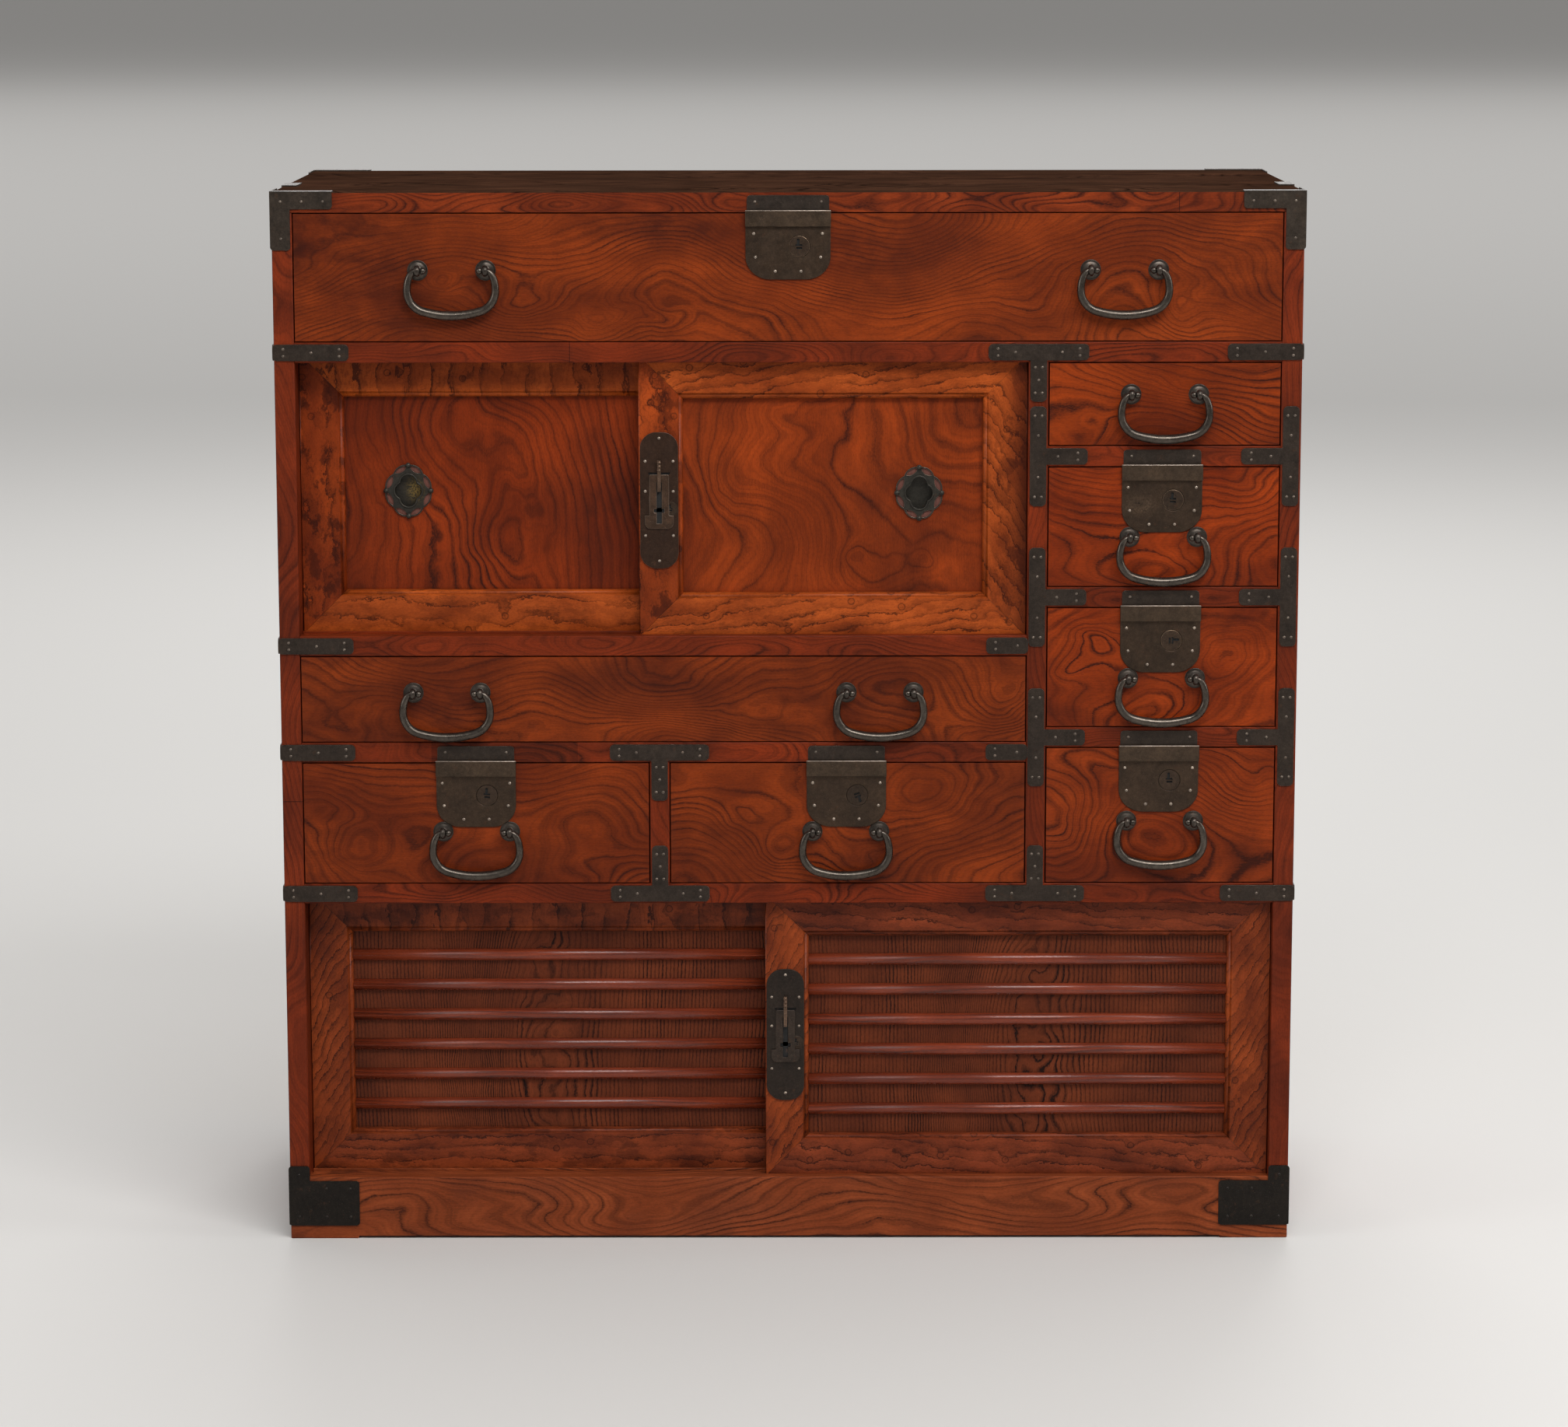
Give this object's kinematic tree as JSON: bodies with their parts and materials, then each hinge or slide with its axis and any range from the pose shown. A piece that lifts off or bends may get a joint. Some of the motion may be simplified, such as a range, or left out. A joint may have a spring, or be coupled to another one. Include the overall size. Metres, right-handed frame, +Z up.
{
  "type": "drawer chest",
  "caption": "Low wooden chest with iron straps, framed and slatted sliding doors, drawers with drop handles, and turning lock discs that raise hidden bolts.",
  "frame": {"origin": "on the floor, under the middle of the whole width and depth", "axes": "+Z up; the drawer fronts face -Y; +X is to the right for a viewer who faces them"},
  "size_m": [0.884, 0.389, 0.9212],
  "materials": {
    "keyaki": "clear red brown lacquer over ring figured grain",
    "dark_keyaki": "dark red brown lacquer",
    "door_keyaki": "orange brown lacquer over mottled grain",
    "plain_wood": "bare planed softwood",
    "iron": "dark patinated wrought iron",
    "worn_iron": "handled iron, worn brighter"
  },
  "bodies": {
    "case": {"side_left": "dark_keyaki", "side_right": "dark_keyaki", "top_board": "keyaki", "base_board": "keyaki", "back_boards": "plain_wood", "front_rails": "keyaki", "shelf_boards": "plain_wood", "dividers": "keyaki", "corner_irons": "iron", "joint_irons": "iron", "case_nails": "worn_iron"},
    "top_drawer": {"top_drawer": "keyaki", "top_drawer_irons": "iron"},
    "wide_drawer": {"wide_drawer": "keyaki", "wide_drawer_irons": "iron"},
    "left_drawer": {"left_drawer": "keyaki", "left_drawer_irons": "iron"},
    "right_drawer": {"right_drawer": "keyaki", "right_drawer_irons": "iron"},
    "column_drawer_1": {"column_drawer_1": "keyaki", "column_drawer_1_irons": "iron"},
    "column_drawer_2": {"column_drawer_2": "keyaki", "column_drawer_2_irons": "iron"},
    "column_drawer_3": {"column_drawer_3": "keyaki", "column_drawer_3_irons": "iron"},
    "column_drawer_4": {"column_drawer_4": "keyaki", "column_drawer_4_irons": "iron"},
    "top_handle_left": {"top_handle_left": "iron"},
    "top_handle_right": {"top_handle_right": "iron"},
    "wide_handle_left": {"wide_handle_left": "iron"},
    "wide_handle_right": {"wide_handle_right": "iron"},
    "left_handle": {"left_handle": "iron"},
    "right_handle": {"right_handle": "iron"},
    "column_handle_1": {"column_handle_1": "iron"},
    "column_handle_2": {"column_handle_2": "iron"},
    "column_handle_3": {"column_handle_3": "iron"},
    "column_handle_4": {"column_handle_4": "iron"},
    "top_key_disc": {"top_key_disc": "worn_iron"},
    "top_lock_bolt": {"top_lock_bolt": "worn_iron"},
    "left_key_disc": {"left_key_disc": "worn_iron"},
    "left_lock_bolt": {"left_lock_bolt": "worn_iron"},
    "right_key_disc": {"right_key_disc": "worn_iron"},
    "right_lock_bolt": {"right_lock_bolt": "worn_iron"},
    "column_key_disc_2": {"column_key_disc_2": "worn_iron"},
    "column_lock_bolt_2": {"column_lock_bolt_2": "worn_iron"},
    "column_key_disc_3": {"column_key_disc_3": "worn_iron"},
    "column_lock_bolt_3": {"column_lock_bolt_3": "worn_iron"},
    "column_key_disc_4": {"column_key_disc_4": "worn_iron"},
    "column_lock_bolt_4": {"column_lock_bolt_4": "worn_iron"},
    "upper_rear_door": {"upper_rear_door": "door_keyaki", "upper_rear_pull": "iron"},
    "upper_front_door": {"upper_front_door": "door_keyaki", "upper_front_door_irons": "iron"},
    "lower_rear_door": {"lower_rear_door": "door_keyaki"},
    "lower_front_door": {"lower_front_door": "door_keyaki", "lower_front_door_irons": "iron"},
    "upper_hasp": {"upper_hasp": "worn_iron"},
    "lower_hasp": {"lower_hasp": "worn_iron"},
    "upper_latch_disc": {"upper_latch_disc": "worn_iron"},
    "lower_latch_disc": {"lower_latch_disc": "worn_iron"}
  },
  "joints": [
    {"name": "top_drawer_slide", "type": "slide", "parent": "case", "child": "top_drawer", "axis": [0, -1, 0], "range_m": [0, 0.3]},
    {"name": "wide_drawer_slide", "type": "slide", "parent": "case", "child": "wide_drawer", "axis": [0, -1, 0], "range_m": [0, 0.3]},
    {"name": "left_drawer_slide", "type": "slide", "parent": "case", "child": "left_drawer", "axis": [0, -1, 0], "range_m": [0, 0.3]},
    {"name": "right_drawer_slide", "type": "slide", "parent": "case", "child": "right_drawer", "axis": [0, -1, 0], "range_m": [0, 0.3]},
    {"name": "column_drawer_1_slide", "type": "slide", "parent": "case", "child": "column_drawer_1", "axis": [0, -1, 0], "range_m": [0, 0.3]},
    {"name": "column_drawer_2_slide", "type": "slide", "parent": "case", "child": "column_drawer_2", "axis": [0, -1, 0], "range_m": [0, 0.3]},
    {"name": "column_drawer_3_slide", "type": "slide", "parent": "case", "child": "column_drawer_3", "axis": [0, -1, 0], "range_m": [0, 0.3]},
    {"name": "column_drawer_4_slide", "type": "slide", "parent": "case", "child": "column_drawer_4", "axis": [0, -1, 0], "range_m": [0, 0.3]},
    {"name": "upper_rear_door_slide", "type": "slide", "parent": "case", "child": "upper_rear_door", "axis": [1, 0, 0], "range_m": [0, 0.2928]},
    {"name": "upper_front_door_slide", "type": "slide", "parent": "case", "child": "upper_front_door", "axis": [-1, 0, 0], "range_m": [0, 0.2928]},
    {"name": "lower_rear_door_slide", "type": "slide", "parent": "case", "child": "lower_rear_door", "axis": [1, 0, 0], "range_m": [0, 0.401]},
    {"name": "lower_front_door_slide", "type": "slide", "parent": "case", "child": "lower_front_door", "axis": [-1, 0, 0], "range_m": [0, 0.401]},
    {"name": "top_handle_left_swing", "type": "hinge", "parent": "top_drawer", "child": "top_handle_left", "pos_m": [-0.287, -0.1897, 0.854], "axis": [-1, 0, 0], "range_deg": [-4, 160]},
    {"name": "top_handle_right_swing", "type": "hinge", "parent": "top_drawer", "child": "top_handle_right", "pos_m": [0.287, -0.1897, 0.854], "axis": [-1, 0, 0], "range_deg": [-4, 160]},
    {"name": "wide_handle_left_swing", "type": "hinge", "parent": "wide_drawer", "child": "wide_handle_left", "pos_m": [-0.29575, -0.1897, 0.489], "axis": [-1, 0, 0], "range_deg": [-4, 160]},
    {"name": "wide_handle_right_swing", "type": "hinge", "parent": "wide_drawer", "child": "wide_handle_right", "pos_m": [0.07925, -0.1897, 0.489], "axis": [-1, 0, 0], "range_deg": [-4, 160]},
    {"name": "left_handle_swing", "type": "hinge", "parent": "left_drawer", "child": "left_handle", "pos_m": [-0.2715, -0.1897, 0.3665], "axis": [-1, 0, 0], "range_deg": [-4, 160]},
    {"name": "right_handle_swing", "type": "hinge", "parent": "right_drawer", "child": "right_handle", "pos_m": [0.04975, -0.1897, 0.3665], "axis": [-1, 0, 0], "range_deg": [-4, 160]},
    {"name": "column_handle_1_swing", "type": "hinge", "parent": "column_drawer_1", "child": "column_handle_1", "pos_m": [0.32275, -0.1897, 0.7475], "axis": [-1, 0, 0], "range_deg": [-4, 160]},
    {"name": "column_handle_2_swing", "type": "hinge", "parent": "column_drawer_2", "child": "column_handle_2", "pos_m": [0.32275, -0.1897, 0.6243], "axis": [-1, 0, 0], "range_deg": [-4, 160]},
    {"name": "column_handle_3_swing", "type": "hinge", "parent": "column_drawer_3", "child": "column_handle_3", "pos_m": [0.32275, -0.1897, 0.5012], "axis": [-1, 0, 0], "range_deg": [-4, 160]},
    {"name": "column_handle_4_swing", "type": "hinge", "parent": "column_drawer_4", "child": "column_handle_4", "pos_m": [0.32275, -0.1897, 0.3755], "axis": [-1, 0, 0], "range_deg": [-4, 160]},
    {"name": "top_key_disc_turn", "type": "hinge", "parent": "top_drawer", "child": "top_key_disc", "pos_m": [0.0095, -0.1817, 0.874], "axis": [0, 1, 0], "range_deg": [0, 90]},
    {"name": "left_key_disc_turn", "type": "hinge", "parent": "left_drawer", "child": "left_key_disc", "pos_m": [-0.262, -0.1817, 0.3985], "axis": [0, 1, 0], "range_deg": [0, 90]},
    {"name": "right_key_disc_turn", "type": "hinge", "parent": "right_drawer", "child": "right_key_disc", "pos_m": [0.05975, -0.1817, 0.3985], "axis": [0, 1, 0], "range_deg": [0, 90]},
    {"name": "column_key_disc_2_turn", "type": "hinge", "parent": "column_drawer_2", "child": "column_key_disc_2", "pos_m": [0.33075, -0.1817, 0.6563], "axis": [0, 1, 0], "range_deg": [0, 90]},
    {"name": "column_key_disc_3_turn", "type": "hinge", "parent": "column_drawer_3", "child": "column_key_disc_3", "pos_m": [0.33075, -0.1817, 0.5342], "axis": [0, 1, 0], "range_deg": [0, 90]},
    {"name": "column_key_disc_4_turn", "type": "hinge", "parent": "column_drawer_4", "child": "column_key_disc_4", "pos_m": [0.33075, -0.1817, 0.4115], "axis": [0, 1, 0], "range_deg": [0, 90]},
    {"name": "top_lock_bolt_rise", "type": "slide", "parent": "top_drawer", "child": "top_lock_bolt", "axis": [0, 0, 1], "range_m": [0, 0.0071]},
    {"name": "left_lock_bolt_rise", "type": "slide", "parent": "left_drawer", "child": "left_lock_bolt", "axis": [0, 0, 1], "range_m": [0, 0.0071]},
    {"name": "right_lock_bolt_rise", "type": "slide", "parent": "right_drawer", "child": "right_lock_bolt", "axis": [0, 0, 1], "range_m": [0, 0.0071]},
    {"name": "column_lock_bolt_2_rise", "type": "slide", "parent": "column_drawer_2", "child": "column_lock_bolt_2", "axis": [0, 0, 1], "range_m": [0, 0.0071]},
    {"name": "column_lock_bolt_3_rise", "type": "slide", "parent": "column_drawer_3", "child": "column_lock_bolt_3", "axis": [0, 0, 1], "range_m": [0, 0.0071]},
    {"name": "column_lock_bolt_4_rise", "type": "slide", "parent": "column_drawer_4", "child": "column_lock_bolt_4", "axis": [0, 0, 1], "range_m": [0, 0.0071]},
    {"name": "upper_hasp_slide", "type": "slide", "parent": "upper_front_door", "child": "upper_hasp", "axis": [0, 0, 1], "range_m": [0, 0.009]},
    {"name": "upper_latch_disc_turn", "type": "hinge", "parent": "upper_front_door", "child": "upper_latch_disc", "pos_m": [-0.10165, -0.1707, 0.64755], "axis": [0, 1, 0], "range_deg": [0, 90]},
    {"name": "lower_hasp_slide", "type": "slide", "parent": "lower_front_door", "child": "lower_hasp", "axis": [0, 0, 1], "range_m": [0, 0.009]},
    {"name": "lower_latch_disc_turn", "type": "hinge", "parent": "lower_front_door", "child": "lower_latch_disc", "pos_m": [0.0066, -0.1707, 0.17455], "axis": [0, 1, 0], "range_deg": [0, 90]}
  ],
  "couplings": [
    {"joint": "top_lock_bolt_rise", "follows": "top_key_disc_turn", "m_per_rad": 0.0044563},
    {"joint": "left_lock_bolt_rise", "follows": "left_key_disc_turn", "m_per_rad": 0.0044563},
    {"joint": "right_lock_bolt_rise", "follows": "right_key_disc_turn", "m_per_rad": 0.0044563},
    {"joint": "column_lock_bolt_2_rise", "follows": "column_key_disc_2_turn", "m_per_rad": 0.0044563},
    {"joint": "column_lock_bolt_3_rise", "follows": "column_key_disc_3_turn", "m_per_rad": 0.0044563},
    {"joint": "column_lock_bolt_4_rise", "follows": "column_key_disc_4_turn", "m_per_rad": 0.0044563}
  ]
}
